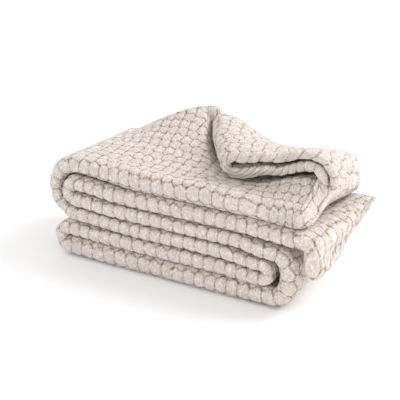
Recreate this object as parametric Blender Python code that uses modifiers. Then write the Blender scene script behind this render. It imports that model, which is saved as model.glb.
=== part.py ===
"""Matelasse blanket, folded into a stack with a turned-back flap on top.

One woven cloth with a thin turned hem all round. It is doubled lengthwise, so
every layer of the stack is two plies joined by a soft fold at the front. The
doubled strip then runs back and forth in six layers, turns up at the right end,
comes back to the left and turns over a slanting ridge to make the flap.

Frame: X runs along the front of the stack to the right, Y runs from the front
folds to the back hems, +Z is up and the stack rests on Z = 0. The sizes below are
measured from the stack's left end and its front folds.
"""
import math

import bpy
import numpy as np

MM = 0.001

# ---- driving sizes, mm --------------------------------------------------------
ORIGIN = (212.0, 89.0)      # X and Y of the frame's origin, under the stack's middle
CLOTH = 5.0                 # thickness, from the underside to the quilted face
BACK_Y = 168.0              # how far behind the front folds the back sizes hold
SETTLE = dict(stack=1.4, flap=1.3)     # over 1, heights hold near the front, then settle
FOLD_STEPS = 3              # facets in each quarter of the front fold
FOLD_POWER = 1.0            # under 1, the front folds are squarer than round
PLY_ROWS = (0.20, 0.45, 0.70, 0.915, 1.0)   # where each ply has its rows, fold to hem

# ---- layers of the doubled strip, in the order it runs -------------------------
# Heights of each layer's underside and top at its left end, middle and right end,
# along the front fold and along the back. share: how much of the run each end
# takes to reach the middle's height. hem: Y of the back hems. steps: its facets.
LAYERS = [
    # name         front underside        front top              share hem  steps
    #              back underside         back top
    ("fifth",      (101.5, 96.0, 91.5),   (125.0, 120.3, 117.0), 0.22, 178, 6,
                   (82.0, 82.0, 94.0),    (100.0, 101.0, 112.0)),
    ("fourth",     (78.0, 75.0, 67.5),    (99.5, 95.0, 89.0),    0.22, 168, 6,
                   (62.0, 62.0, 61.0),    (77.0, 77.0, 76.0)),
    ("first",      (1.5, 0.0, 2.5),       (29.5, 28.8, 27.5),    0.22, 160, 6,
                   (1.0, 0.0, 2.0),       (16.0, 16.0, 17.0)),
    ("second",     (31.5, 29.8, 28.5),    (55.3, 52.2, 48.0),    0.22, 163, 6,
                   (21.0, 21.0, 22.0),    (36.0, 36.0, 37.0)),
    ("third",      (56.3, 53.2, 49.3),    (76.5, 73.6, 66.5),    0.22, 166, 6,
                   (42.0, 42.0, 42.0),    (57.0, 57.0, 57.0)),
    ("sixth",      (129.0, 121.3, 118.5), (154.5, 153.0, 152.0), 0.30, 172, 15,
                   (118.0, 104.0, 113.5), (138.0, 131.0, 132.0)),
    ("flap under", (152.5, 166.5, 180.5), (168.0, 179.5, 194.5), 0.50, 174, 9,
                   (162.0, 135.0, 142.0), (174.0, 148.0, 154.5)),
    ("flap over",  (174.5, 184.0, 197.5), (191.0, 197.5, 209.5), 0.50, 174, 9,
                   (186.5, 150.5, 158.5), (199.0, 163.5, 171.0)),
]
# Bends that join each layer to the next. x: where the straight runs end; reach:
# how far the strip's middle swings past that; gap: from there to a ply's middle.
# A bend is half an ellipse, or squarer with a power under 1.
BENDS = [
    # name               x front, back     reach front, back   gap front, back  power steps
    ("inner left bend",  (43.0, 43.0),     (12.3, 10.0),       (8.4, 5.0),      1.00,  8),
    ("right wrap",       (352.0, 338.0),   (24.0, 24.0),       (13.0, 6.0),     1.00, 10),
    ("lower left bend",  (29.0, 30.0),     (14.0, 11.0),       (10.0, 5.5),     1.00,  8),
    ("nose",             (334.5, 322.0),   (10.8, 10.0),       (6.6, 5.0),      1.00,  8),
    ("left wrap",        (47.0, 47.0),     (38.8, 37.0),       (7.7, 6.0),      1.00, 10),
    ("right turn up",    (386.0, 380.0),   (15.0, 12.0),       (6.4, 6.8),      0.90, 10),
    ("flap ridge",       (274.5, 190.0),   (14.0, 12.5),       (5.9, 3.4),      1.00,  8),
]
# The strip begins with a shoulder that droops over the right wrap, and ends with
# a droop over the right turn up. Both are arcs; angles in degrees from +X.
# Squarer than round with a power under 1.
SHOULDER = dict(x=(382.0, 402.0), radius=(24.0, 24.0), angle=(-38.0, 62.0), power=0.60, steps=7)
DROOP = dict(x=(376.0, 385.0), radius=(36.0, 26.0), angle=(-4.0, 68.0), power=0.90, steps=6)
LEAN = (6.0, 0.0)          # how far the right turn up leans left at its top, front and back

# How far the flap's front edge is set back behind the front folds: at the foot of
# the right turn up, at the ridge and at the flap's right end. It reaches the foot
# between two shares of the turn up, and goes on to the right end from a third.
SETBACK = dict(foot=44.0, ridge=43.0, right=50.0, to_foot=(0.10, 0.42), onward=0.30)
RIDGE_HEM = 160.0           # Y of the flap's back hems at the ridge

# Hump of the sixth layer's top ply at the back. Its crest slants with the flap
# ridge; right of the crest the ply falls to a shelf that carries the ridge. The
# lower ply rises less and runs out evenly.
HUMP = dict(height=72.0, power=1.5, front_y=30.0, left_x=18.0, crest=(248.0, 161.5),
            fall=(50.0, 9.0), shelf=23.0, shelf_run=100.0, lower=40.0, lower_run=120.0,
            climb_power=1.7)
CREST_KEYS = (0.0, 0.40, 0.70, 1.0)     # shares of the sixth layer's rows, bunched on it
# Behind the flap's hem the crest swings right: from Y, to Y, and how far.
HOOK = (159.0, 169.0, 17.0)
# Under the flap's right half the sixth layer swells up: by a height of its own, its
# lower ply by a share of that, and its top ply on towards the flap, to a gap between
# the plies' middles.
SWELL = dict(height=24.0, lower_share=0.5, y=(12.0, 62.0, 165.0), x=(292.0, 378.0))
NEST = dict(gap=11.0, y=(56.0, 110.0), x=(225.0, 300.0), setback_share=0.7)
# How far the flap ridge and the hump's crest bow to the left at mid depth.
BOW = 4.0


def mix(a, b, t):
    return a + (b - a) * t


def ease(t):
    """0 to 1 with level ends."""
    return 0.5 - 0.5 * math.cos(math.pi * min(max(t, 0.0), 1.0))


def run_value(left, middle, right, share, u):
    """A layer's height at u, 0 at its left end and 1 at its right end."""
    if u < share:
        return mix(left, middle, ease(u / share))
    return mix(middle, right, ease((u - 1.0 + share) / share))


def across(pair, depth):
    """A size at one depth, from its front and back values."""
    return mix(pair[0], pair[1], depth)


def bend_x(bend, depth, rise=0.0):
    """Where the straight runs end at a bend; rise is 0 at its first run and 1 at its second."""
    if bend[0] == "flap ridge":
        return across(bend[1], depth) + bow(depth)
    lean = across(LEAN, depth) * rise if bend[0] == "right turn up" else 0.0
    return across(bend[1], depth) - lean


def layer_height(layer, u, depth, ply):
    """Z of the cloth's middle in a layer; ply runs from -1 underneath to 1 on top."""
    name, low_front, top_front, share, hem, steps, low_back, top_back = layer
    settle = depth ** SETTLE["flap" if name.startswith("flap") else "stack"]
    low = mix(run_value(*low_front, share, u), run_value(*low_back, share, u), settle)
    top = mix(run_value(*top_front, share, u), run_value(*top_back, share, u), settle)
    return mix(low + 0.5 * CLOTH, top - 0.5 * CLOTH, 0.5 + 0.5 * ply)


def bow(depth):
    """Shift of the flap ridge and the crest at one depth, negative to the left."""
    return -BOW * math.sin(math.pi * min(depth, 1.0))


def hump_crest(y):
    """The crest's x at one depth, and how far right of it the hump has fallen away."""
    depth = min(y / BACK_Y, 1.0)
    start, end, swing = HOOK
    hook = swing * ease((depth * BACK_Y - start) / (end - start))
    return across(HUMP["crest"], depth) + bow(depth) + hook, across(HUMP["fall"], depth)


def crest_spacing(u, x_from, x_to, depth):
    """Moves a layer's evenly spaced rows so that they bunch on the hump's crest."""
    crest, fall = hump_crest(depth * BACK_Y)
    crest_u = (crest - x_from) / (x_to - x_from)
    foot_u = (crest + fall - x_from) / (x_to - x_from)
    return float(np.interp(u, CREST_KEYS, (0.0, crest_u, foot_u, 1.0)))


def hump_height(x, y, ply):
    """Lift of the sixth layer; ply runs from -1 underneath to 1 on top."""
    if y <= HUMP["front_y"]:
        return 0.0
    rise = min((y - HUMP["front_y"]) / (BACK_Y - HUMP["front_y"]), 1.0) ** HUMP["power"]
    crest, fall = hump_crest(y)
    if x < crest:
        climb = min(max((x - HUMP["left_x"]) / (crest - HUMP["left_x"]), 0.0), 1.0)
        climb = math.sin(0.5 * math.pi * climb) ** HUMP["climb_power"]
        top, low = HUMP["height"] * climb, HUMP["lower"] * climb
    else:
        shelf = HUMP["shelf"] * (1.0 - ease((x - crest - 2.0 * fall) / HUMP["shelf_run"]))
        top = mix(HUMP["height"], shelf, ease((x - crest) / fall))
        low = HUMP["lower"] * (1.0 - ease((x - crest) / HUMP["lower_run"]))
    return rise * mix(low, top, 0.5 + 0.5 * ply)


def swell_height(x, y, ply):
    """The sixth layer's own lift under the flap's right half; ply as in hump_height."""
    front, middle, back = SWELL["y"]
    lift = ease((y - front) / (middle - front)) * ease((back - y) / (back - middle))
    reach = ease((x - SWELL["x"][0]) / (SWELL["x"][1] - SWELL["x"][0]))
    return SWELL["height"] * lift * reach * mix(SWELL["lower_share"], 1.0, 0.5 + 0.5 * ply)


def flap_floor(x, y):
    """Z of the flap's lowest ply over a place, at its middle."""
    edge = mix(SETBACK["ridge"], SETBACK["right"], NEST["setback_share"])
    depth = min(max((y - edge) / (BACK_Y - edge), 0.0), 1.0)
    ridge, turn_up = BENDS[-1], BENDS[-2]
    left, right = bend_x(ridge, depth), bend_x(turn_up, depth, 1.0)
    u = min(max((x - left) / (right - left), 0.0), 1.0)
    return layer_height(LAYERS[-2], u, depth, -1.0)


def ply_height(i, u, depth, ply, x, y):
    """Z of a layer's ply at u along it; ply runs from -1 underneath to 1 on top."""
    z = layer_height(LAYERS[i], u, depth, ply)
    if LAYERS[i][0] != "sixth":
        return z
    z += hump_height(x, y, ply) + swell_height(x, y, ply)
    near = ease((x - NEST["x"][0]) / (NEST["x"][1] - NEST["x"][0]))
    near *= ease((y - NEST["y"][0]) / (NEST["y"][1] - NEST["y"][0]))
    short = max(flap_floor(x, y) - NEST["gap"] - z, 0.0)
    return z + near * short * (0.5 + 0.5 * ply)


def squared(value, power):
    """A sine or cosine brought nearer to a square corner by a power under 1."""
    return math.copysign(abs(value) ** power, value)


def arc_point(spec, angle, z_middle, depth, offset):
    """A point of the shoulder or the droop, offset outwards from the strip's middle."""
    radius = across(spec["radius"], depth)
    out = radius + offset
    return (across(spec["x"], depth) + out * squared(math.cos(angle), spec["power"]),
            z_middle - radius + out * squared(math.sin(angle), spec["power"]))


def end_arc(spec, start, end, ends, depth, offset):
    """Points of the shoulder or the droop, from the start angle towards the end."""
    steps = spec["steps"]
    return [arc_point(spec, math.radians(mix(start, end, k / steps)), ends, depth, offset)
            for k in range(steps + 1)]


def bend_points(bend, depth, side, right, z_from, z_to, outer):
    """Points of one ply round a bend, between the ends of its straight runs."""
    name, x, reach, gap, power, steps = bend
    swing = across(reach, depth) + across(gap, depth) * (abs(side) if outer else -abs(side))
    points = []
    for k in range(1, steps):
        angle = math.pi * k / steps
        rise = 0.5 - 0.5 * squared(math.cos(angle), power)
        out = right * swing * squared(math.sin(angle), power)
        points.append((bend_x(bend, depth, rise) + out, mix(z_from, z_to, rise)))
    return points


def strip_line(depth, side, y):
    """(x, z) along the strip at one depth, 0 front to 1 back.

    side runs from -1 to 1 through the doubled strip: 1 is the ply that is on top in
    the layers that run to the right and underneath in those that run to the left.
    """
    first, last = 0, len(LAYERS) - 1
    middle = layer_height(LAYERS[first], 1.0, depth, 0.0)
    offset = layer_height(LAYERS[first], 1.0, depth, -side) - middle
    line = end_arc(SHOULDER, across(SHOULDER["angle"], depth), 90.0, middle, depth, offset)[:-1]
    for i, layer in enumerate(LAYERS):
        leftward = i % 2 == 0
        ply = -side if leftward else side
        ends = [across(SHOULDER["x"], depth) if i == first else bend_x(BENDS[i - 1], depth, 1.0),
                across(DROOP["x"], depth) if i == last else bend_x(BENDS[i], depth)]
        x_left, x_right = min(ends), max(ends)
        for k in range(layer[5] + 1):
            u = 1.0 - k / layer[5] if leftward else k / layer[5]
            if layer[0] == "sixth":
                u = crest_spacing(u, x_left, x_right, depth)
            x = mix(x_left, x_right, u)
            line.append((x, ply_height(i, u, depth, ply, x, y)))
        if i == last:
            break
        end = 0.0 if leftward else 1.0
        z_from = ply_height(i, end, depth, ply, ends[1], y)
        z_to = ply_height(i + 1, end, depth, -ply, bend_x(BENDS[i], depth, 1.0), y)
        outer = ply * (1 if LAYERS[i + 1][1][1] > layer[1][1] else -1) < 0
        line += bend_points(BENDS[i], depth, side, -1 if leftward else 1, z_from, z_to, outer)
    middle = layer_height(LAYERS[last], 1.0, depth, 0.0)
    offset = layer_height(LAYERS[last], 1.0, depth, side) - middle
    return line + end_arc(DROOP, 90.0, across(DROOP["angle"], depth), middle, depth, offset)[1:]


def strip_stations():
    """For each point of strip_line: its stretch's name, place in it, and hem Y."""
    out = [("shoulder", k / SHOULDER["steps"], LAYERS[0][4]) for k in range(SHOULDER["steps"])]
    for i, layer in enumerate(LAYERS):
        out += [(layer[0], k / layer[5], layer_hem(layer, k / layer[5])) for k in range(layer[5] + 1)]
        if i < len(BENDS):
            name, steps = BENDS[i][0], BENDS[i][-1]
            near, far = layer_hem(layer, 1.0), layer_hem(LAYERS[i + 1], 0.0)
            out += [(name, k / steps, mix(near, far, ease(k / steps))) for k in range(1, steps)]
    out += [("droop", 1.0, LAYERS[-1][4])] * DROOP["steps"]
    return out


def layer_hem(layer, t):
    """Y of a layer's back hems at share t of the way along it."""
    if layer[0] == "flap under":
        return mix(layer[4], RIDGE_HEM, ease(t))
    if layer[0] == "flap over":
        return mix(RIDGE_HEM, layer[4], ease(t))
    return layer[4]


def setback(name, t):
    """How far the front edge lies behind the front folds."""
    if name == "right turn up":
        start, end = SETBACK["to_foot"]
        foot = SETBACK["foot"] * ease((t - start) / (end - start))
        return mix(foot, SETBACK["right"], ease((t - SETBACK["onward"]) / (1.0 - SETBACK["onward"])))
    if name == "flap under":
        return mix(SETBACK["right"], SETBACK["ridge"], ease(t))
    if name == "flap ridge":
        return SETBACK["ridge"]
    if name == "flap over":
        return mix(SETBACK["ridge"], SETBACK["right"], ease(t))
    if name == "droop":
        return SETBACK["right"]
    return 0.0


def section_columns():
    """The doubled section from one back hem round the front fold to the other.

    Rows of (side, fold, place): side -1 to 1 through the strip, fold 0 on the
    front edge to 1 where the plies run straight, and place 0 there to 1 at the hem.
    """
    half = []
    for k in range(FOLD_STEPS + 1):
        angle = 0.5 * math.pi * k / FOLD_STEPS
        half.append((squared(math.sin(angle), FOLD_POWER), 1.0 - squared(math.cos(angle), FOLD_POWER), 0.0))
    half += [(1.0, 1.0, place) for place in PLY_ROWS]
    return [(-side, fold, place) for side, fold, place in reversed(half)] + half[1:]


def cloth_surface():
    """Grid of points on the middle of the cloth: stations along, columns across."""
    stations = strip_stations()
    columns = section_columns()
    fold_y = [setback(name, t) + 0.5 * CLOTH for name, t, hem in stations]
    lower, upper = strip_line(0.0, -1.0, 0.0), strip_line(0.0, 1.0, 0.0)
    fold_reach = [0.5 * math.dist(a, b) for a, b in zip(lower, upper)]
    grid = np.zeros((len(stations), len(columns), 3))
    for c, (side, fold, place) in enumerate(columns):
        lines = {}
        for s, (name, t, hem) in enumerate(stations):
            y = fold_y[s] + fold_reach[s] * fold
            y = mix(y, hem, place)
            depth = max((y - fold_y[s]) / (BACK_Y - fold_y[s]), 0.0)
            key = (round(depth, 4), round(y, 2))
            if key not in lines:
                lines[key] = strip_line(depth, side, y)
            x, z = lines[key][s]
            grid[s, c] = (x - ORIGIN[0], y - ORIGIN[1], z)
    return grid * MM


def facets(grid):
    """Triangles, split the same way seen from above so that plies nest closely."""
    along, wide = grid.shape[:2]
    faces = []
    for s in range(along - 1):
        for c in range(wide - 1):
            a, b = s * wide + c, s * wide + c + 1
            far_a, far_b = a + wide, b + wide
            span = grid[s + 1, c + 1] - grid[s, c]
            if span[0] * span[1] > 0.0:
                faces += [(a, b, far_b), (a, far_b, far_a)]
            else:
                faces += [(a, b, far_a), (b, far_b, far_a)]
    return faces


def blanket():
    grid = cloth_surface()
    mesh = bpy.data.meshes.new("blanket")
    mesh.from_pydata([tuple(point) for point in grid.reshape(-1, 3)], [], facets(grid))
    mesh.shade_smooth()
    obj = bpy.data.objects.new("blanket", mesh)
    solid = obj.modifiers.new("cloth thickness", "SOLIDIFY")
    solid.thickness = CLOTH * MM
    solid.offset = 0.0
    return obj


def main():
    for old in list(bpy.data.objects):
        bpy.data.objects.remove(old, do_unlink=True)
    collection = bpy.data.collections.new("matelasse blanket")
    bpy.context.scene.collection.children.link(collection)
    obj = blanket()
    cotton = bpy.data.materials.new("woven cotton")
    cotton.use_nodes = True
    bsdf = cotton.node_tree.nodes["Principled BSDF"]
    bsdf.inputs["Base Color"].default_value = (0.68, 0.62, 0.56, 1.0)
    bsdf.inputs["Roughness"].default_value = 0.95
    bsdf.inputs["Metallic"].default_value = 0.0
    obj.data.materials.append(cotton)
    collection.objects.link(obj)


main()
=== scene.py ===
"""Matelasse blanket: one quilted cloth, doubled, folded in a stack, its top turned back.

The cloth is one closed sheet made of stations along the doubled strip and columns
across its section, from one back hem round the front fold to the other. Each point
also has its flat place on the cloth, and the quilted pebbles follow that place.
"""

import math

import bpy
import numpy as np
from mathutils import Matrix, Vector


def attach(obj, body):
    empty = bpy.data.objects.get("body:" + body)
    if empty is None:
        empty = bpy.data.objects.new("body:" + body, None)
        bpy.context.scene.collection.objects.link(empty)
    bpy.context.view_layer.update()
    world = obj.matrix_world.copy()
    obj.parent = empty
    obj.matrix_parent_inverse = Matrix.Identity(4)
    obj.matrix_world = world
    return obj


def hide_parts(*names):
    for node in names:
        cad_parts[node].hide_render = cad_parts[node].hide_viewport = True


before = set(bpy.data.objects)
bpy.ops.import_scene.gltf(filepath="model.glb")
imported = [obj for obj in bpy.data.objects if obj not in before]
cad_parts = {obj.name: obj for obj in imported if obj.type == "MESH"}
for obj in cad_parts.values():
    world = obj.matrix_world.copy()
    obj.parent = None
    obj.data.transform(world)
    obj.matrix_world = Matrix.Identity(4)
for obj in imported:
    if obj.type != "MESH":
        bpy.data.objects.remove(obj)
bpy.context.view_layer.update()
MM = 0.001

# ---- the stack, mm; measured from its left end, its front folds and the floor --------
ORIGIN = (212.0, 89.0)      # X and Y of the frame's origin
CLOTH = 5.0                 # thickness, from the underside to the pebbles' crowns
BACK_Y = 168.0              # how far behind the front folds the back sizes hold
SETTLE = dict(stack=1.4, flap=1.3)      # over 1, heights hold near the front, then settle
# Each layer's underside and top at its left end, middle and right end, along the front
# fold and along the back; share of the run that each end takes; Y of the back hems.
LAYERS = [
    # name         front underside        front top              share hem
    #              back underside         back top
    ("fifth",      (101.5, 96.0, 91.5),   (125.0, 120.3, 117.0), 0.22, 178,
                   (82.0, 82.0, 94.0),    (100.0, 101.0, 112.0)),
    ("fourth",     (78.0, 75.0, 67.5),    (99.5, 95.0, 89.0),    0.22, 168,
                   (62.0, 62.0, 61.0),    (77.0, 77.0, 76.0)),
    ("first",      (1.5, 0.0, 2.5),       (29.5, 28.8, 27.5),    0.22, 160,
                   (1.0, 0.0, 2.0),       (16.0, 16.0, 17.0)),
    ("second",     (31.5, 29.8, 28.5),    (55.3, 52.2, 48.0),    0.22, 163,
                   (21.0, 21.0, 22.0),    (36.0, 36.0, 37.0)),
    ("third",      (56.3, 53.2, 49.3),    (76.5, 73.6, 66.5),    0.22, 166,
                   (42.0, 42.0, 42.0),    (57.0, 57.0, 57.0)),
    ("sixth",      (129.0, 121.3, 118.5), (154.5, 153.0, 152.0), 0.30, 172,
                   (118.0, 104.0, 113.5), (138.0, 131.0, 132.0)),
    ("flap under", (152.5, 166.5, 180.5), (168.0, 179.5, 194.5), 0.50, 174,
                   (162.0, 135.0, 142.0), (174.0, 148.0, 154.5)),
    ("flap over",  (174.5, 184.0, 197.5), (191.0, 197.5, 209.5), 0.50, 174,
                   (186.5, 150.5, 158.5), (199.0, 163.5, 171.0)),
]
# Bends that join each layer to the next. x: where the straight runs end; reach: how
# far the strip's middle swings past that; gap: from there to a ply's middle.
BENDS = [
    # name               x front, back     reach front, back   gap front, back  power
    ("inner left bend",  (43.0, 43.0),     (12.3, 10.0),       (8.4, 5.0),      1.00),
    ("right wrap",       (352.0, 338.0),   (24.0, 24.0),       (13.0, 6.0),     1.00),
    ("lower left bend",  (29.0, 30.0),     (14.0, 11.0),       (10.0, 5.5),     1.00),
    ("nose",             (334.5, 322.0),   (10.8, 10.0),       (6.6, 5.0),      1.00),
    ("left wrap",        (47.0, 47.0),     (38.8, 37.0),       (7.7, 6.0),      1.00),
    ("right turn up",    (386.0, 380.0),   (15.0, 12.0),       (6.4, 6.8),      0.90),
    ("flap ridge",       (274.5, 190.0),   (14.0, 12.5),       (5.9, 3.4),      1.00),
]
SHOULDER = dict(x=(382.0, 402.0), radius=(24.0, 24.0), angle=(-38.0, 62.0), power=0.60)
DROOP = dict(x=(376.0, 385.0), radius=(36.0, 26.0), angle=(-4.0, 68.0), power=0.90)
LEAN = (6.0, 0.0)           # how far the right turn up leans left at its top, front, back
# How far the flap's front edge is set back behind the front folds: at the foot of the
# turn up, at the ridge and at the flap's right end. It reaches the foot between two
# shares of the turn up, and goes on to the right end from a third.
SETBACK = dict(foot=44.0, ridge=43.0, right=50.0, to_foot=(0.10, 0.42), onward=0.30)
RIDGE_HEM = 160.0           # Y of the flap's back hems at the ridge
# Hump of the sixth layer's top ply at the back. Right of its crest the ply falls to a
# shelf that carries the flap ridge. The lower ply rises less and runs out evenly.
HUMP = dict(height=72.0, power=1.5, front_y=30.0, left_x=18.0, crest=(248.0, 161.5),
            fall=(50.0, 9.0), shelf=23.0, shelf_run=100.0, lower=40.0, lower_run=120.0,
            climb_power=1.7)
# Behind the flap's hem the crest swings right; from Y, to Y, and how far.
HOOK = (159.0, 169.0, 17.0)
# Under the flap's right half the sixth layer swells up: by a height of its own, and
# its top ply on towards the flap, to a gap between the plies' middles.
SWELL = dict(height=24.0, lower_share=0.5, y=(12.0, 62.0, 165.0), x=(292.0, 378.0))
NEST = dict(gap=11.0, y=(56.0, 110.0), x=(225.0, 300.0), setback_share=0.7)
BOW = 4.0                   # how far the flap ridge and the crest bow left at mid depth
CREST_KEYS = (0.0, 0.40, 0.70, 1.0)     # shares of the sixth layer's stations

# ---- the sheet's mesh, mm -----------------------------------------------------------
STEP = 2.9                  # between neighbouring stations and columns where it shows
FOLD_COLUMNS = 20           # columns round the front fold
FOLD_POWER = 0.85           # under 1, the front folds are squarer than round
LENGTH_TRIES = 160          # points that a stretch's length is measured with
NEAR_FRONT = (0.05, 8.0)    # depth and Y of the line that is measured
COARSE = (3, 4)             # stations and columns merged where nothing shows
BEND_COARSE = 2             # stations merged in a bend
EDGE = dict(rings=3, reach=1.3)     # rings round the cut edge, and how far they stand out
# Where the outer face shows: stretch, side of the strip, stretch share from and to,
# and how far behind the front edge.
ALL = 400.0
SHOWN = [
    # stretch            side  from   to    depth
    ("shoulder",          -1,  0.00,  1.00, ALL),
    ("fifth",             -1,  0.00,  0.05, ALL),
    ("right wrap",         1,  0.00,  1.00, ALL),
    ("lower left bend",    1,  0.00,  1.00, ALL),
    ("left wrap",          1,  0.00,  1.00, ALL),
    ("sixth",              1,  0.00,  0.72, ALL),
    ("sixth",              1,  0.72,  1.00, 96.0),
    ("right turn up",     -1,  0.00,  1.00, ALL),
    ("right turn up",      1,  0.00,  1.00, 40.0),
    ("flap under",         1,  0.00,  1.00, 46.0),
    ("flap under",        -1,  0.00,  1.00, 30.0),
    ("flap ridge",         1,  0.00,  1.00, ALL),
    ("flap over",          1,  0.00,  1.00, ALL),
    ("flap over",         -1,  0.00,  1.00, 24.0),
    ("droop",              1,  0.00,  1.00, ALL),
    ("droop",             -1,  0.00,  1.00, 30.0),
]
FRONT_SHOWN = 15.0          # every layer shows this far behind its front edge
HEM_SHOWN = 5.0             # and this far in from its hems

# ---- the quilting, mm ---------------------------------------------------------------
PEBBLE = dict(pitch=17.5, row=15.5, jitter=0.26, bulge=0.09, shoulder=5.5, relief=1.7)
FOLD_ROW = dict(share=0.33, reach=15.0)     # rows are longer on the front fold
PROUD = 0.7                 # how far the crowns stand past the cloth's thickness
HEM = dict(width=7.0, thin=0.55, taper=4.0, height=0.75)    # plain, thinner edge
PADDING = 0.9               # how far the padding's unevenness lowers the face
MATCH_FROM = 0.66           # share of the sixth layer where its pebbles join the flap's
# Waves that bend the quilting's columns and rows: height, length, then the length of
# the wave's own drift along the other way, or its shift.
COLUMN_WARP = dict(slow=(1.6, 19.0, 0.7), fast=(1.1, 7.3, 41.0))
ROW_WARP = dict(slow=(1.8, 23.0, 1.1), fast=(1.2, 9.1, 37.0))
SEAM_SHIFT = (12.9898, 78.233)      # per column and per row: scatters the seams' shifts
TINT_SHIFT = (37.7, 91.3)           # the same for each pebble's tint
# a seam's colour is partly its own stitch line and partly painted shade in its groove
SEAM_REACH = (0.2, 1.7)             # where a seam starts and has stopped to colour the cloth
KNOT_REACH = (0.6, 3.2)             # the same for the knots at the pebbles' corners
ROUNDING = (2.5, 0.6)               # how square the pebbles are, and how full
# Creases pressed into the quilting: a trough, or a ridge where the depth is negative.
# Its middle is at a share of a stretch and so far from the front fold, over 0 on the
# strip's side 1; its line turns by degrees from along the strip.
CREASES = [
    # stretch           share  across  turn    depth  width  length
    ("left wrap",        0.22,    9.0,   70.0,   2.2,   4.5,   26.0),
    ("left wrap",        0.48,   12.0,   58.0,   1.8,   4.0,   22.0),
    ("left wrap",        0.66,   22.0,   76.0,   1.5,   5.0,   34.0),
    ("lower left bend",  0.40,    8.0,   62.0,   2.0,   4.0,   20.0),
    ("lower left bend",  0.75,   14.0,   80.0,   1.4,   4.0,   24.0),
    ("sixth",            0.12,   46.0,   24.0,   1.6,   7.0,   52.0),
    ("sixth",            0.26,   88.0,   38.0,   1.8,   8.0,   46.0),
    ("sixth",            0.33,  120.0,   52.0,  -1.5,   8.0,   40.0),
    ("sixth",            0.97,   10.0,   66.0,   2.4,   4.0,   20.0),
    ("right turn up",    0.12,  -16.0,   48.0,   2.0,   5.0,   26.0),
    ("shoulder",         0.55,  -12.0,   64.0,   2.2,   4.5,   22.0),
    ("shoulder",         0.30,  -34.0,   78.0,   1.5,   5.0,   34.0),
    ("right wrap",       0.35,   12.0,   70.0,   2.0,   4.0,   22.0),
    ("flap over",        0.30,   34.0,   30.0,   1.8,   7.0,   44.0),
    ("flap over",        0.62,   18.0,   16.0,   1.6,   6.0,   36.0),
    ("flap over",        0.90,   46.0,   64.0,   2.0,   6.0,   34.0),
    ("droop",            0.50,   22.0,   72.0,   1.6,   5.0,   30.0),
]

# ---- colours -------------------------------------------------------------------------
CROWN_PALE = (0.845, 0.80, 0.77, 1.0)
CROWN_WARM = (0.795, 0.735, 0.69, 1.0)
TAUPE = (0.48, 0.38, 0.31, 1.0)
# The seam tan darkens the pebbles' hollows as painted shade, and the seam lines partly with their own
# colour and partly with painted shade.
SEAM_AND_SHADE_TAN = (0.40, 0.26, 0.165, 1.0)
KNOT_BROWN = (0.20, 0.12, 0.075, 1.0)
# How strongly each tone shows, of 1: a share always, and a share more where it is thin
# yarn or a mottled patch.
# The darkening of the pebbles' hollows, with its power, is painted shade; the seam line's is partly its
# own colour and partly painted shade.
TONES = dict(mottle=0.30, thin=0.50, seam=(0.20, 0.65), patches=(0.45, 0.75), seam_line_and_shade=0.9,
             knot=(0.30, 0.60), painted_shade_power=1.5)
YARN = dict(size=1.6, cross_stretch=3.2, length_stretch=2.6, cross_share=0.6, slow=4.0,
            thin=(0.38, 0.60), mottled=(0.35, 0.68))
FINISH = {"Roughness": 0.92, "Specular IOR Level": 0.2, "Sheen Weight": 0.15, "Sheen Roughness": 0.5}
BUMP = dict(strength=1.0, depth=1.8, yarn=0.50, seam=0.50)

# ---- the studio, metres, degrees and watts --------------------------------------------
CAMERA = dict(turn=30.0, rise=23.0, distance=1.57, target=(0.0314, -0.083, 0.1309),
              lens=108.0, sensor=36.0)
FLOOR = dict(reach=9, color=(0.9, 0.9, 0.9, 1), roughness=0.9)
SKY = 1.02
LIT_POINT = (0, 0, 0.1)
LIGHTS = [
    # name    place              size  power
    ("key",   (1.3, 0.9, 1.5),   1.0,  29.5),
    ("fill",  (-0.6, -2.0, 1.2), 1.6,  7.5),
]


def mix(a, b, t):
    return a + (b - a) * t


def ease(t):
    """0 to 1 with level ends."""
    return 0.5 - 0.5 * np.cos(math.pi * np.clip(t, 0.0, 1.0))


def across(pair, depth):
    """A size at each depth, from its front and back values."""
    return mix(pair[0], pair[1], depth)


def run_value(left, middle, right, share, u):
    """A layer's height at u, 0 at its left end and 1 at its right end."""
    from_left = mix(left, middle, ease(u / share))
    to_right = mix(middle, right, ease((u - 1.0 + share) / share))
    return np.where(u < share, from_left, to_right)


def layer_height(layer, u, depth, ply):
    """Z of the cloth's middle in a layer; ply runs from -1 underneath to 1 on top."""
    name, low_front, top_front, share, hem, low_back, top_back = layer
    settle = depth ** SETTLE["flap" if name.startswith("flap") else "stack"]
    low = mix(run_value(*low_front, share, u), run_value(*low_back, share, u), settle)
    top = mix(run_value(*top_front, share, u), run_value(*top_back, share, u), settle)
    return mix(low + 0.5 * CLOTH, top - 0.5 * CLOTH, 0.5 + 0.5 * ply)


def bow(depth):
    """Shift of the flap ridge and the crest, negative to the left."""
    return -BOW * np.sin(math.pi * np.minimum(depth, 1.0))


def bend_x(bend, depth, rise=0.0):
    """Where the runs end at a bend; rise is 0 at its first run and 1 at its second."""
    x = across(bend[1], depth) + (bow(depth) if bend[0] == "flap ridge" else 0.0)
    return x - (across(LEAN, depth) * rise if bend[0] == "right turn up" else 0.0)


def hump_crest(depth):
    """The crest's x, and how far right of it the hump has fallen away."""
    hook = HOOK[2] * ease((depth * BACK_Y - HOOK[0]) / (HOOK[1] - HOOK[0]))
    return across(HUMP["crest"], depth) + bow(depth) + hook, across(HUMP["fall"], depth)


def crest_spacing(t, x_from, x_to, depth):
    """Place in the sixth layer's run, with its stations bunched on the hump's crest."""
    crest, fall = hump_crest(depth)
    marks = (0.0, (crest - x_from) / (x_to - x_from), (crest + fall - x_from) / (x_to - x_from), 1.0)
    for k in range(3):
        if t <= CREST_KEYS[k + 1]:
            share = (t - CREST_KEYS[k]) / (CREST_KEYS[k + 1] - CREST_KEYS[k])
            return mix(marks[k], marks[k + 1], share)


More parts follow.
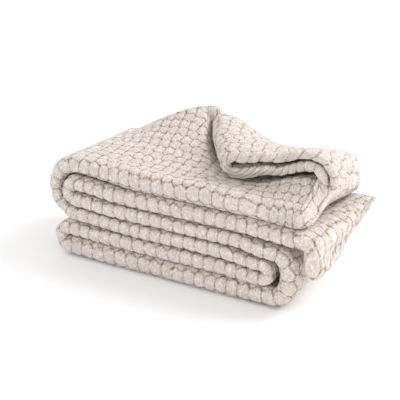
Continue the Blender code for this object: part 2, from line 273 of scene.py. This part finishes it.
def hump_height(x, y, ply):
    """Lift of the sixth layer at the back; ply runs from -1 underneath to 1 on top."""
    rise = np.clip((y - HUMP["front_y"]) / (BACK_Y - HUMP["front_y"]), 0.0, 1.0) ** HUMP["power"]
    crest, fall = hump_crest(np.minimum(y, BACK_Y) / BACK_Y)
    climb = np.clip((x - HUMP["left_x"]) / (crest - HUMP["left_x"]), 0.0, 1.0)
    climb = np.sin(0.5 * math.pi * climb) ** HUMP["climb_power"]
    shelf = HUMP["shelf"] * (1.0 - ease((x - crest - 2.0 * fall) / HUMP["shelf_run"]))
    past = x > crest
    top = np.where(past, mix(HUMP["height"], shelf, ease((x - crest) / fall)), HUMP["height"] * climb)
    low = HUMP["lower"] * np.where(past, 1.0 - ease((x - crest) / HUMP["lower_run"]), climb)
    return rise * mix(low, top, 0.5 + 0.5 * ply)


def swell_height(x, y, ply):
    """Lift of the sixth layer under the flap's right half."""
    front, middle, back = SWELL["y"]
    lift = ease((y - front) / (middle - front)) * ease((back - y) / (back - middle))
    reach = ease((x - SWELL["x"][0]) / (SWELL["x"][1] - SWELL["x"][0]))
    return SWELL["height"] * lift * reach * mix(SWELL["lower_share"], 1.0, 0.5 + 0.5 * ply)


def flap_floor(x, y):
    """Z of the flap's lowest ply over a place, at its middle."""
    edge = mix(SETBACK["ridge"], SETBACK["right"], NEST["setback_share"])
    depth = np.clip((y - edge) / (BACK_Y - edge), 0.0, 1.0)
    ridge, turn_up = BENDS[-1], BENDS[-2]
    left, right = bend_x(ridge, depth), bend_x(turn_up, depth, 1.0)
    u = np.clip((x - left) / (right - left), 0.0, 1.0)
    return layer_height(LAYERS[-2], u, depth, -1.0)


def ply_height(i, u, ply, x, y, depth):
    """Z of a layer's ply at u along it; ply runs from -1 underneath to 1 on top."""
    z = layer_height(LAYERS[i], u, depth, ply)
    if LAYERS[i][0] != "sixth":
        return z
    z = z + hump_height(x, y, ply) + swell_height(x, y, ply)
    near = (ease((x - NEST["x"][0]) / (NEST["x"][1] - NEST["x"][0]))
            * ease((y - NEST["y"][0]) / (NEST["y"][1] - NEST["y"][0])))
    short = np.maximum(flap_floor(x, y) - NEST["gap"] - z, 0.0)
    return z + near * short * (0.5 + 0.5 * ply)


def arc_points(spec, angle, i, depth, ply):
    """Points of the shoulder or the droop; angle in degrees from +X."""
    middle = layer_height(LAYERS[i], 1.0, depth, 0.0)
    out = across(spec["radius"], depth) + layer_height(LAYERS[i], 1.0, depth, ply) - middle
    turn, power = np.radians(angle), spec["power"]
    lift = np.sign(np.sin(turn)) * np.abs(np.sin(turn)) ** power
    return (across(spec["x"], depth) + out * np.cos(turn) ** power,
            middle - across(spec["radius"], depth) + out * lift)


def run_points(i, t, depth, side, y):
    """Points of a layer's straight run at share t of the way along it."""
    leftward = i % 2 == 0
    ply = -side if leftward else side
    x_from = across(SHOULDER["x"], depth) if i == 0 else bend_x(BENDS[i - 1], depth, 1.0)
    x_to = across(DROOP["x"], depth) if i == len(BENDS) else bend_x(BENDS[i], depth)
    share = crest_spacing(t, x_from, x_to, depth) if LAYERS[i][0] == "sixth" else t
    x = mix(x_from, x_to, share)
    u = 1.0 - share if leftward else share
    return x, ply_height(i, u, ply, x, y, depth)


def bend_points(i, t, depth, side, y):
    """Points round the bend after layer i."""
    reach, gap, power = BENDS[i][2:]
    leftward = i % 2 == 0
    ply = -side if leftward else side
    end = 0.0 if leftward else 1.0
    z_from = ply_height(i, end, ply, bend_x(BENDS[i], depth), y, depth)
    z_to = ply_height(i + 1, end, -ply, bend_x(BENDS[i], depth, 1.0), y, depth)
    upward = LAYERS[i + 1][1][1] > LAYERS[i][1][1]
    swing = across(reach, depth) + across(gap, depth) * (-ply if upward else ply)
    turn = math.copysign(abs(math.cos(math.pi * t)) ** power, math.cos(math.pi * t))
    out = (-1.0 if leftward else 1.0) * math.sin(math.pi * t) ** power
    rise = 0.5 - 0.5 * turn
    return bend_x(BENDS[i], depth, rise) + out * swing, mix(z_from, z_to, rise)


def stretch_points(stretch, t, depth, side, y):
    """(x, z) of the strip at share t of a stretch; side runs from -1 to 1 through it."""
    name, kind, i = stretch
    if kind == "run":
        return run_points(i, t, depth, side, y)
    if kind == "bend":
        return bend_points(i, t, depth, side, y)
    if name == "shoulder":
        return arc_points(SHOULDER, mix(across(SHOULDER["angle"], depth), 90.0, t), i, depth, -side)
    return arc_points(DROOP, mix(90.0, across(DROOP["angle"], depth), t), i, depth, side)


def stretches():
    """(name, kind, layer) along the strip, from the shoulder to the droop."""
    out = [("shoulder", "arc", 0)]
    for i, layer in enumerate(LAYERS):
        out.append((layer[0], "run", i))
        if i < len(BENDS):
            out.append((BENDS[i][0], "bend", i))
    return out + [("droop", "arc", len(LAYERS) - 1)]


def even_shares(stretch):
    """Shares of a stretch that put its stations STEP apart on its longer front ply."""
    tries = np.linspace(0.0, 1.0, LENGTH_TRIES)
    front_depth, front_y = NEAR_FRONT
    best = None
    for side in (-1.0, 1.0):
        line = np.array([stretch_points(stretch, t, front_depth, side, front_y) for t in tries])
        length = np.concatenate([[0.0], np.cumsum(np.linalg.norm(np.diff(line, axis=0), axis=1))])
        if best is None or length[-1] > best[-1]:
            best = length
    count = max(3, math.ceil(best[-1] / STEP))
    return np.interp(np.linspace(0.0, best[-1], count + 1), best, tries)


def stations():
    """(stretch, share, hem Y) all along the strip, each place once."""
    out = []
    for stretch in stretches():
        shares = even_shares(stretch)
        for t in shares if stretch[0] == "droop" else shares[:-1]:
            out.append((stretch, float(t), float(hem_y(stretch, t))))
    return out


def hem_y(stretch, t):
    """Y of the back hems at share t of a stretch."""
    name, kind, i = stretch
    if name == "flap ridge":
        return RIDGE_HEM
    if name in ("flap under", "flap over"):
        return mix(LAYERS[i][4], RIDGE_HEM, ease(t if name == "flap under" else 1.0 - t))
    if kind == "bend":
        return mix(LAYERS[i][4], LAYERS[i + 1][4], ease(t))
    return LAYERS[i][4]


def setback(name, t):
    """How far the front edge lies behind the front folds."""
    if name == "right turn up":
        start, end = SETBACK["to_foot"]
        foot = SETBACK["foot"] * ease((t - start) / (end - start))
        onward = ease((t - SETBACK["onward"]) / (1.0 - SETBACK["onward"]))
        return mix(foot, SETBACK["right"], onward)
    if name == "flap under":
        return mix(SETBACK["right"], SETBACK["ridge"], ease(t))
    if name == "flap ridge":
        return SETBACK["ridge"]
    if name == "flap over":
        return mix(SETBACK["ridge"], SETBACK["right"], ease(t))
    return SETBACK["right"] if name == "droop" else 0.0


def section_columns():
    """Arrays of side, fold angle in degrees, and place from the fold, 0, to the hem, 1."""
    angles = np.linspace(-90.0, 90.0, FOLD_COLUMNS + 1)
    rows = math.ceil(BACK_Y / STEP)
    places = np.linspace(0.0, 1.0, rows + 1)[1:]
    angle = np.concatenate([np.full(rows, -90.0), angles, np.full(rows, 90.0)])
    place = np.concatenate([places[::-1], np.zeros(len(angles)), places])
    return fold_power(np.sin(np.radians(angle))), angle, place


def fold_power(v):
    """Squares the round front folds."""
    return np.sign(v) * np.abs(v) ** FOLD_POWER


def middle_surface(along):
    """The cloth's middle, (stations, columns, 3) in mm, and each point's Y past the edge."""
    side, angle, place = section_columns()
    grid = np.zeros((len(along), len(side), 3))
    behind = np.zeros(grid.shape[:2])
    for s, (stretch, t, hem) in enumerate(along):
        edge = float(setback(stretch[0], t)) + 0.5 * CLOTH
        ends = [stretch_points(stretch, t, 0.0, ply, 0.0) for ply in (-1.0, 1.0)]
        reach = 0.5 * math.dist(*ends)
        fold = 1.0 - fold_power(np.cos(np.radians(angle)))
        y = mix(edge + reach * fold, hem, place)
        depth = np.maximum(y - edge, 0.0) / (BACK_Y - edge)
        x, z = stretch_points(stretch, t, depth, side, y)
        grid[s] = np.stack([x - ORIGIN[0], y - ORIGIN[1], z], axis=1)
        behind[s] = y - edge
    return grid, behind


def unit(v):
    return v / np.maximum(np.linalg.norm(v, axis=-1, keepdims=True), 1e-9)


def outward(grid):
    """Normals on the pebbled side."""
    return unit(np.cross(np.gradient(grid, axis=0), np.gradient(grid, axis=1)))


def flat_places(grid, along):
    """Each point's place on the flat cloth, mm: along the strip, and across from the fold."""
    steps = np.linalg.norm(np.diff(grid, axis=0), axis=2)
    own = np.vstack([np.zeros(steps.shape[1]), np.cumsum(steps, axis=0)])
    shared = own.mean(axis=1)[:, None] * np.ones(own.shape[1])
    names = [stretch[0] for stretch, t, hem in along]
    share = np.array([t for stretch, t, hem in along])[:, None]
    here = {name: np.array([n == name for n in names]) for name in set(names)}
    sixth = here["sixth"]
    start = sixth.argmax()
    own_sixth = shared[start] + own - own[start]
    shared[sixth] = mix(own_sixth, shared, ease((share - MATCH_FROM) / (1.0 - MATCH_FROM)))[sixth]
    under, flap = here["flap under"], here["flap ridge"] | here["flap over"] | here["droop"]
    from_end = shared[-1] + own - own[-1]
    shared[under] = mix(shared, from_end, ease(share))[under]
    shared[flap] = from_end[flap]
    widths = np.linalg.norm(np.diff(grid, axis=1), axis=2)
    places = np.hstack([np.zeros((len(grid), 1)), np.cumsum(widths, axis=1)])
    middle = places[:, grid.shape[1] // 2][:, None]
    return shared, places - middle


def warp(waves, a, b):
    """Sum of a slow wave along a and a fast one that drifts with b."""
    height, length, shift = waves["slow"]
    fast_height, fast_length, drift = waves["fast"]
    return height * np.sin(a / length + shift) + fast_height * np.sin(a / fast_length + b / drift)


def pebbles(p, q):
    """Puffed height of the quilting, 0 in the seams to 1 on the crowns."""
    pitch, row = PEBBLE["pitch"], PEBBLE["row"]
    p_warped, q_warped = p + warp(COLUMN_WARP, q, p), q + warp(ROW_WARP, p, q)
    q_warped = q_warped * (1.0 - FOLD_ROW["share"] * np.exp(-(q / FOLD_ROW["reach"]) ** 2))
    s = q_warped / row + 0.5
    wave = PEBBLE["bulge"] * np.cos(2.0 * math.pi * p_warped / pitch)
    r = np.floor(s)
    low = wave * (1.0 - 2.0 * np.mod(r, 2.0))
    f = s - r
    r = r + (f > 1.0 - low) - (f < low)
    low = wave * (1.0 - 2.0 * np.mod(r, 2.0))
    f = s - r
    across_seam = np.minimum(f - low, 1.0 - low - f) * row
    place = p_warped / pitch + 0.5 * np.mod(r, 2.0)
    c = np.floor(place)
    u = place - c
    left = PEBBLE["jitter"] * np.sin(SEAM_SHIFT[0] * c + SEAM_SHIFT[1] * r)
    right = PEBBLE["jitter"] * np.sin(SEAM_SHIFT[0] * (c + 1.0) + SEAM_SHIFT[1] * r)
    along_seam = np.minimum(np.abs(u - left), np.abs(1.0 + right - u)) * pitch
    ex = np.maximum(0.0, 1.0 - along_seam / PEBBLE["shoulder"])
    ey = np.maximum(0.0, 1.0 - across_seam / PEBBLE["shoulder"])
    square, full = ROUNDING
    return (1.0 - np.minimum(1.0, ex ** square + ey ** square)) ** full


def unevenness(p, q):
    """Slow rise and fall of the padding, 0 to 1."""
    wave = (np.sin(p / 17.0 + q / 29.0) + np.sin(p / 31.0 - q / 13.0 + 2.0)
            + np.sin(q / 21.0 + 0.5 * np.sin(p / 47.0)))
    return 0.5 + wave / 6.0


def crease_depth(along, p, q):
    """How deep the creases press into the outer face; below 0 where one stands up."""
    depth = np.zeros_like(p)
    for name, share, across_fold, turn, deep, width, length in CREASES:
        near = [abs(t - share) if stretch[0] == name else 9.0 for stretch, t, hem in along]
        dp, dq = p - p[int(np.argmin(near)), p.shape[1] // 2], q - across_fold
        lengthwise = dp * math.cos(math.radians(turn)) + dq * math.sin(math.radians(turn))
        sideways = dq * math.cos(math.radians(turn)) - dp * math.sin(math.radians(turn))
        sideways = sideways + 0.3 * width * np.sin(3.0 * lengthwise / length)
        depth += deep * np.exp(-(sideways / width) ** 2 - (lengthwise / length) ** 2)
    return depth


def shown(along, behind, hem_room, side):
    """Mask of the points whose outer face shows."""
    mask = (behind < FRONT_SHOWN) | (hem_room < HEM_SHOWN)
    for name, which, t_from, t_to, depth in SHOWN:
        here = np.array([stretch[0] == name and t_from <= t <= t_to for stretch, t, hem in along])
        mask |= here[:, None] & (side[None, :] * which > 0.0) & (behind < depth)
    mask[:3] = mask[-3:] = True
    return mask


def merge_map(along, mask):
    """For each grid point, the point that stands for it: itself where the mask is set."""
    rows, columns = mask.shape
    block_row, first = [], 0
    for s, (stretch, t, hem) in enumerate(along):
        size = BEND_COARSE if stretch[1] != "run" else COARSE[0]
        if s - first >= size:
            first = s
        block_row.append(first)
    block_row = np.array(block_row)
    block_column = np.arange(columns) // COARSE[1] * COARSE[1]
    corner = block_row[:, None] * columns + block_column[None, :]
    keep = np.zeros(rows * columns, bool)
    np.logical_or.at(keep, corner.ravel(), mask.ravel())
    own = np.arange(rows * columns).reshape(rows, columns)
    return np.where(keep[corner], own, corner)


def grid_faces(stand_in, flip):
    """Quads and triangles of a grid of indices, without the ones merged away."""
    corners = np.stack([stand_in[:-1, :-1], stand_in[:-1, 1:], stand_in[1:, 1:], stand_in[1:, :-1]], -1)
    corners = corners.reshape(-1, 4)
    return (corners[:, ::-1] if flip else corners).tolist()


def border(rows, columns):
    """Grid indices once round the cloth's edge."""
    top = [(0, c) for c in range(columns)]
    right = [(s, columns - 1) for s in range(1, rows)]
    bottom = [(rows - 1, c) for c in range(columns - 2, -1, -1)]
    left = [(s, 0) for s in range(rows - 2, 0, -1)]
    return np.array(top + right + bottom + left)


def tidy_faces(faces):
    """Each face without repeated corners, and only those with three corners left."""
    out = []
    for face in faces:
        kept = [v for k, v in enumerate(face) if v != face[k - 1]]
        if len(kept) > 2 and len(set(kept)) == len(kept):
            out.append(kept)
    return out


def face_heights(along, p, q, room):
    """How far the outer and the inner face lie from the cloth's middle."""
    plain = 1.0 - ease(room / HEM["width"])
    height = mix(pebbles(p, q), HEM["height"], plain)
    half = 0.5 * CLOTH * mix(1.0, HEM["thin"], 1.0 - ease(room / HEM["taper"]))
    proud = PROUD * (1.0 - plain)
    padding = PEBBLE["relief"] * (1.0 - height) + PADDING * unevenness(p, q)
    return half + proud - padding - crease_depth(along, p, q), half


def edge_points(grid, normal, half, loop):
    """Rings of points that round off the cut edge, from the outer face to the inner."""
    rows, columns = half.shape
    middle = grid[loop[:, 0], loop[:, 1]]
    inside = grid[np.clip(loop[:, 0], 1, rows - 2), np.clip(loop[:, 1], 1, columns - 2)]
    out = unit(middle - inside) * EDGE["reach"]
    up = normal[loop[:, 0], loop[:, 1]] * half[loop[:, 0], loop[:, 1]][:, None]
    turns = [math.pi * k / (EDGE["rings"] + 1) for k in range(1, EDGE["rings"] + 1)]
    return [middle + up * math.cos(turn) + out * math.sin(turn) for turn in turns]


def cloth_mesh():
    """Points and flat places in metres, faces, and the grids of flat places in mm."""
    along = stations()
    side = section_columns()[0]
    grid, behind = middle_surface(along)
    normal = outward(grid)
    p, q = flat_places(grid, along)
    hem_room = np.minimum(q - q[:, :1], q[:, -1:] - q)
    end_room = np.maximum(np.minimum(p - p[:1], p[-1:] - p), 0.0)
    outer, half = face_heights(along, p, q, np.minimum(hem_room, end_room))
    outer_map = merge_map(along, shown(along, behind, hem_room, side))
    rim = np.zeros_like(outer_map, bool)
    rim[:2] = rim[-2:] = True
    rim[:, :2] = rim[:, -2:] = True
    inner_map = merge_map(along, rim) + p.size
    loop = border(*p.shape)
    rings = [outer_map[loop[:, 0], loop[:, 1]]]
    faces = grid_faces(outer_map, False) + grid_faces(inner_map, True)
    points = [(grid + normal * outer[..., None]).reshape(-1, 3)]
    points.append((grid - normal * half[..., None]).reshape(-1, 3))
    flat = np.stack([p, q], -1)
    places = [flat.reshape(-1, 2)] * 2
    for ring in edge_points(grid, normal, half, loop):
        rings.append(np.arange(len(loop)) + sum(len(part) for part in points))
        points.append(ring)
        places.append(flat[loop[:, 0], loop[:, 1]])
    rings.append(inner_map[loop[:, 0], loop[:, 1]])
    for near, far in zip(rings, rings[1:]):
        faces += np.stack([near, far, np.roll(far, -1), np.roll(near, -1)], -1).tolist()
    return np.vstack(points) * MM, np.vstack(places) * MM, tidy_faces(faces), (p, q)


def cloth_object():
    """The cloth's mesh object with its flat map, and its flat size in metres."""
    points, places, faces, (p, q) = cloth_mesh()
    used = np.unique(np.concatenate([np.array(face) for face in faces]))
    renumber = np.zeros(len(points), int)
    renumber[used] = np.arange(len(used))
    mesh = bpy.data.meshes.new("quilted cloth")
    mesh.from_pydata(points[used].tolist(), [], [[int(renumber[v]) for v in face] for face in faces])
    uv = mesh.uv_layers.new(name="flat cloth")
    corner = np.zeros(len(mesh.loops), int)
    mesh.loops.foreach_get("vertex_index", corner)
    uv.uv.foreach_set("vector", places[used][corner].ravel())
    mesh.shade_smooth()
    mesh.validate()
    obj = bpy.data.objects.new("quilted_cloth", mesh)
    bpy.context.scene.collection.objects.link(obj)
    size = (float(np.mean(q[:, -1] - q[:, 0])) * MM, float(np.mean(p[-1] - p[0])) * MM)
    return obj, size


class Formula:
    """Adds Math nodes to a tree. Operands are sockets or numbers."""

    def __init__(self, tree):
        self.tree = tree

    def put(self, socket, value):
        if isinstance(value, bpy.types.NodeSocket):
            self.tree.links.new(value, socket)
        else:
            socket.default_value = value

    def math(self, operation, *operands):
        node = self.tree.nodes.new("ShaderNodeMath")
        node.operation = operation
        for socket, value in zip(node.inputs, operands):
            self.put(socket, value)
        return node.outputs[0]

    def add(self, a, b):
        return self.math("ADD", a, b)

    def sub(self, a, b):
        return self.math("SUBTRACT", a, b)

    def mul(self, a, b):
        return self.math("MULTIPLY", a, b)

    def wave(self, a, length, b=None, b_length=1.0, shift=0.0):
        """Sine of a over its length, plus b over its own, plus a shift."""
        angle = self.math("MULTIPLY_ADD", a, 1.0 / length, shift)
        if b is not None:
            angle = self.math("MULTIPLY_ADD", b, 1.0 / b_length, angle)
        return self.math("SINE", angle)

    def warped(self, place, waves, other):
        """A place moved by a slow and a fast wave along the other way, as warp does."""
        height, length, shift = waves["slow"]
        place_slow = self.math("MULTIPLY_ADD", self.wave(other, length, shift=shift), height, place)
        height, length, drift = waves["fast"]
        return self.math("MULTIPLY_ADD", self.wave(other, length, place, drift), height, place_slow)

    def node(self, kind, values, **settings):
        """A node with settings, its inputs given by name; returns its outputs."""
        node = self.tree.nodes.new(kind)
        for name, value in settings.items():
            setattr(node, name, value)
        for name, value in values.items():
            self.put(node.inputs[name], value)
        return node.outputs

    def ramp(self, value, low, high, to_low=0.0, to_high=1.0):
        """Smooth step of a value between two marks."""
        return self.node("ShaderNodeMapRange", {
            "Value": value, "From Min": low, "From Max": high, "To Min": to_low, "To Max": to_high,
        }, interpolation_type="SMOOTHSTEP")["Result"]


def group(name, inputs, outputs):
    """A node group with named sockets; returns its tree, Formula, inputs and output node."""
    tree = bpy.data.node_groups.new(name, "ShaderNodeTree")
    for label, kind, value in inputs:
        socket = tree.interface.new_socket(label, in_out="INPUT", socket_type=kind)
        if value is not None:
            socket.default_value = value
    for label, kind in outputs:
        tree.interface.new_socket(label, in_out="OUTPUT", socket_type=kind)
    entry = tree.nodes.new("NodeGroupInput")
    return tree, Formula(tree), entry.outputs, tree.nodes.new("NodeGroupOutput")


def pebble_group():
    """The same pebbles as the mesh has, from the cloth's flat map: seams, knots and a tint each."""
    tree, f, given, out = group("pebble quilting", [
        ("Flat Place", "NodeSocketVector", None),
        ("Pitch", "NodeSocketFloat", PEBBLE["pitch"]),
        ("Row", "NodeSocketFloat", PEBBLE["row"]),
    ], [("Height", "NodeSocketFloat"), ("Seam", "NodeSocketFloat"),
        ("Knot", "NodeSocketFloat"), ("Tint", "NodeSocketFloat")])
    place = f.node("ShaderNodeSeparateXYZ", {"Vector": given["Flat Place"]})
    p, q = f.mul(place["X"], 1000.0), f.mul(place["Y"], 1000.0)
    p_warped, q_warped = f.warped(p, COLUMN_WARP, q), f.warped(q, ROW_WARP, p)
    from_fold = f.math("DIVIDE", q, FOLD_ROW["reach"])
    near_fold = f.math("EXPONENT", f.mul(f.mul(from_fold, from_fold), -1.0))
    q_warped = f.mul(q_warped, f.math("MULTIPLY_ADD", near_fold, -FOLD_ROW["share"], 1.0))
    s = f.add(f.math("DIVIDE", q_warped, given["Row"]), 0.5)
    columns = f.math("DIVIDE", p_warped, given["Pitch"])
    wave = f.mul(f.math("COSINE", f.mul(columns, 2.0 * math.pi)), PEBBLE["bulge"])

    def seam_below(row):
        odd = f.math("FLOORED_MODULO", row, 2.0)
        return odd, f.mul(wave, f.math("MULTIPLY_ADD", odd, -2.0, 1.0))

    row = f.math("FLOOR", s)
    odd, low = seam_below(row)
    inside = f.sub(s, row)
    row = f.add(row, f.math("GREATER_THAN", inside, f.sub(1.0, low)))
    row = f.sub(row, f.math("LESS_THAN", inside, low))
    odd, low = seam_below(row)
    inside = f.sub(s, row)
    over = f.math("MINIMUM", f.sub(inside, low), f.sub(f.sub(1.0, low), inside))
    over = f.mul(over, given["Row"])
    spot = f.math("MULTIPLY_ADD", odd, 0.5, columns)
    column = f.math("FLOOR", spot)
    u = f.sub(spot, column)
    row_turn = f.mul(row, SEAM_SHIFT[1])

    def shifted_seam(shift):
        angle = f.math("MULTIPLY_ADD", f.add(column, shift), SEAM_SHIFT[0], row_turn)
        return f.mul(f.math("SINE", angle), PEBBLE["jitter"])

    left, right = shifted_seam(0.0), f.add(shifted_seam(1.0), 1.0)
    beside = f.math("MINIMUM", f.math("ABSOLUTE", f.sub(u, left)), f.math("ABSOLUTE", f.sub(right, u)))
    beside = f.mul(beside, given["Pitch"])
    own = f.sub(f.add(column, f.math("GREATER_THAN", u, right)), f.math("LESS_THAN", u, left))
    ex = f.math("MAXIMUM", 0.0, f.sub(1.0, f.math("DIVIDE", beside, PEBBLE["shoulder"])))
    ey = f.math("MAXIMUM", 0.0, f.sub(1.0, f.math("DIVIDE", over, PEBBLE["shoulder"])))
    square, full = ROUNDING
    round_off = f.math("MINIMUM", 1.0, f.add(f.math("POWER", ex, square), f.math("POWER", ey, square)))
    f.put(out.inputs["Height"], f.math("POWER", f.sub(1.0, round_off), full))
    f.put(out.inputs["Seam"], f.ramp(f.math("MINIMUM", beside, over), *SEAM_REACH, 1.0, 0.0))
    corner = f.math("SQRT", f.add(f.mul(beside, beside), f.mul(over, over)))
    f.put(out.inputs["Knot"], f.ramp(corner, *KNOT_REACH, 1.0, 0.0))
    tint = f.math("SINE", f.math("MULTIPLY_ADD", own, TINT_SHIFT[0], f.mul(row, TINT_SHIFT[1])))
    f.put(out.inputs["Tint"], f.math("MULTIPLY_ADD", tint, 0.5, 0.5))
    return tree


def thread_group():
    """Slub yarn: short ridges both ways, and slow mottling of the padding."""
    tree, f, given, out = group("slub yarn", [
        ("Flat Place", "NodeSocketVector", None),
        ("Yarn Size", "NodeSocketFloat", YARN["size"]),
    ], [("Yarn", "NodeSocketFloat"), ("Mottle", "NodeSocketFloat")])
    place = f.node("ShaderNodeSeparateXYZ", {"Vector": given["Flat Place"]})
    p, q = f.mul(place["X"], 1000.0), f.mul(place["Y"], 1000.0)

    def streaks(a, b, stretch, size):
        across_yarn = f.math("DIVIDE", a, size)
        along_yarn = f.math("DIVIDE", b, f.mul(size, stretch))
        vector = f.node("ShaderNodeCombineXYZ", {"X": across_yarn, "Y": along_yarn})["Vector"]
        return f.node("ShaderNodeTexNoise", {"Vector": vector, "Scale": 1.0, "Detail": 2.0,
                                             "Roughness": 0.55, "Distortion": 0.25})["Fac"]

    cross_wise = streaks(p, q, YARN["cross_stretch"], given["Yarn Size"])
    length_wise = streaks(q, p, YARN["length_stretch"], given["Yarn Size"])
    share = YARN["cross_share"]
    yarn = f.add(f.mul(cross_wise, share), f.mul(length_wise, 1.0 - share))
    f.put(out.inputs["Yarn"], f.ramp(yarn, *YARN["thin"]))
    slow = streaks(p, q, 1.0, f.mul(given["Yarn Size"], YARN["slow"]))
    f.put(out.inputs["Mottle"], f.ramp(slow, *YARN["mottled"]))
    return tree


def quilted_cotton():
    m = bpy.data.materials.new("quilted cotton")
    m.use_nodes = True
    f = Formula(m.node_tree)
    bsdf = m.node_tree.nodes["Principled BSDF"]
    flat = f.node("ShaderNodeUVMap", {}, uv_map="flat cloth")["UV"]
    quilt = f.node("ShaderNodeGroup", {}, node_tree=bpy.data.node_groups["pebble quilting"])
    yarn = f.node("ShaderNodeGroup", {}, node_tree=bpy.data.node_groups["slub yarn"])
    for outputs in (quilt, yarn):
        f.put(outputs[0].node.inputs["Flat Place"], flat)

    def blend(factor, a, b):
        node = m.node_tree.nodes.new("ShaderNodeMix")
        node.data_type = "RGBA"
        f.put(node.inputs[0], factor)
        f.put(node.inputs[6], a)
        f.put(node.inputs[7], b)
        return node.outputs[2]

    def rising(low_and_more, mask):
        low, more = low_and_more
        return f.math("MULTIPLY_ADD", mask, more, low)

    thin = f.sub(1.0, yarn["Yarn"])
    # painted shade: the pebbles' hollows darken towards the seams in place of their shade, broken up by
    # thin yarn and mottled patches
    painted_hollow_shade = f.math("POWER", f.sub(1.0, quilt["Height"]), TONES["painted_shade_power"])
    broken = f.mul(rising(TONES["seam"], thin), rising(TONES["patches"], yarn["Mottle"]))
    colour = blend(quilt["Tint"], CROWN_WARM, CROWN_PALE)
    colour = blend(f.mul(yarn["Mottle"], TONES["mottle"]), colour, TAUPE)
    colour = blend(f.mul(thin, TONES["thin"]), colour, TAUPE)
    colour = blend(f.mul(painted_hollow_shade, broken), colour, SEAM_AND_SHADE_TAN)
    # seam lines: partly their own colour, partly painted shade in the grooves
    colour = blend(f.mul(quilt["Seam"], f.mul(broken, TONES["seam_line_and_shade"])), colour, SEAM_AND_SHADE_TAN)
    colour = blend(f.mul(quilt["Knot"], rising(TONES["knot"], thin)), colour, KNOT_BROWN)
    f.put(bsdf.inputs["Base Color"], colour)
    woven, between = f.mul(yarn["Yarn"], BUMP["yarn"]), f.sub(1.0, quilt["Seam"])
    bump = m.node_tree.nodes.new("ShaderNodeBump")
    bump.inputs["Strength"].default_value = BUMP["strength"]
    bump.inputs["Distance"].default_value = BUMP["depth"] * MM
    f.put(bump.inputs["Height"], f.add(woven, f.mul(between, BUMP["seam"])))
    f.put(bsdf.inputs["Normal"], bump.outputs["Normal"])
    for socket, value in FINISH.items():
        bsdf.inputs[socket].default_value = value
    return m


def aim(obj, target):
    obj.rotation_euler = (Vector(target) - obj.location).to_track_quat("-Z", "Y").to_euler()


def place_camera():
    camera = bpy.data.objects.new("camera", bpy.data.cameras.new("camera"))
    bpy.context.scene.collection.objects.link(camera)
    bpy.context.scene.camera = camera
    turn, rise = math.radians(CAMERA["turn"]), math.radians(CAMERA["rise"])
    level = math.cos(rise)
    back = Vector((math.sin(turn) * level, -math.cos(turn) * level, math.sin(rise)))
    camera.location = Vector(CAMERA["target"]) + back * CAMERA["distance"]
    camera.data.lens = CAMERA["lens"]
    camera.data.sensor_width = CAMERA["sensor"]
    aim(camera, CAMERA["target"])


def lay_floor():
    reach = FLOOR["reach"]
    corners = [(-reach, -reach, 0), (reach, -reach, 0), (reach, reach, 0), (-reach, reach, 0)]
    mesh = bpy.data.meshes.new("floor")
    mesh.from_pydata(corners, [], [(0, 1, 2, 3)])
    floor = bpy.data.objects.new("floor", mesh)
    bpy.context.scene.collection.objects.link(floor)
    pale = bpy.data.materials.new("pale floor")
    pale.use_nodes = True
    bsdf = pale.node_tree.nodes["Principled BSDF"]
    bsdf.inputs["Base Color"].default_value = FLOOR["color"]
    bsdf.inputs["Roughness"].default_value = FLOOR["roughness"]
    mesh.materials.append(pale)


def light_studio():
    world = bpy.data.worlds.new("studio")
    bpy.context.scene.world = world
    world.use_nodes = True
    background = world.node_tree.nodes["Background"]
    background.inputs["Color"].default_value = (1, 1, 1, 1)
    background.inputs["Strength"].default_value = SKY
    for name, where, size, power in LIGHTS:
        light = bpy.data.objects.new(name, bpy.data.lights.new(name, "AREA"))
        light.data.size = size
        light.data.energy = power
        light.location = where
        aim(light, LIT_POINT)
        bpy.context.scene.collection.objects.link(light)
    bpy.context.scene.view_settings.view_transform = "Standard"


place_camera()
lay_floor()
light_studio()
blanket, flat_size = cloth_object()
pebble_group()
thread_group()
blanket.data.materials.append(quilted_cotton())
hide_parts("blanket")
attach(blanket, "root")
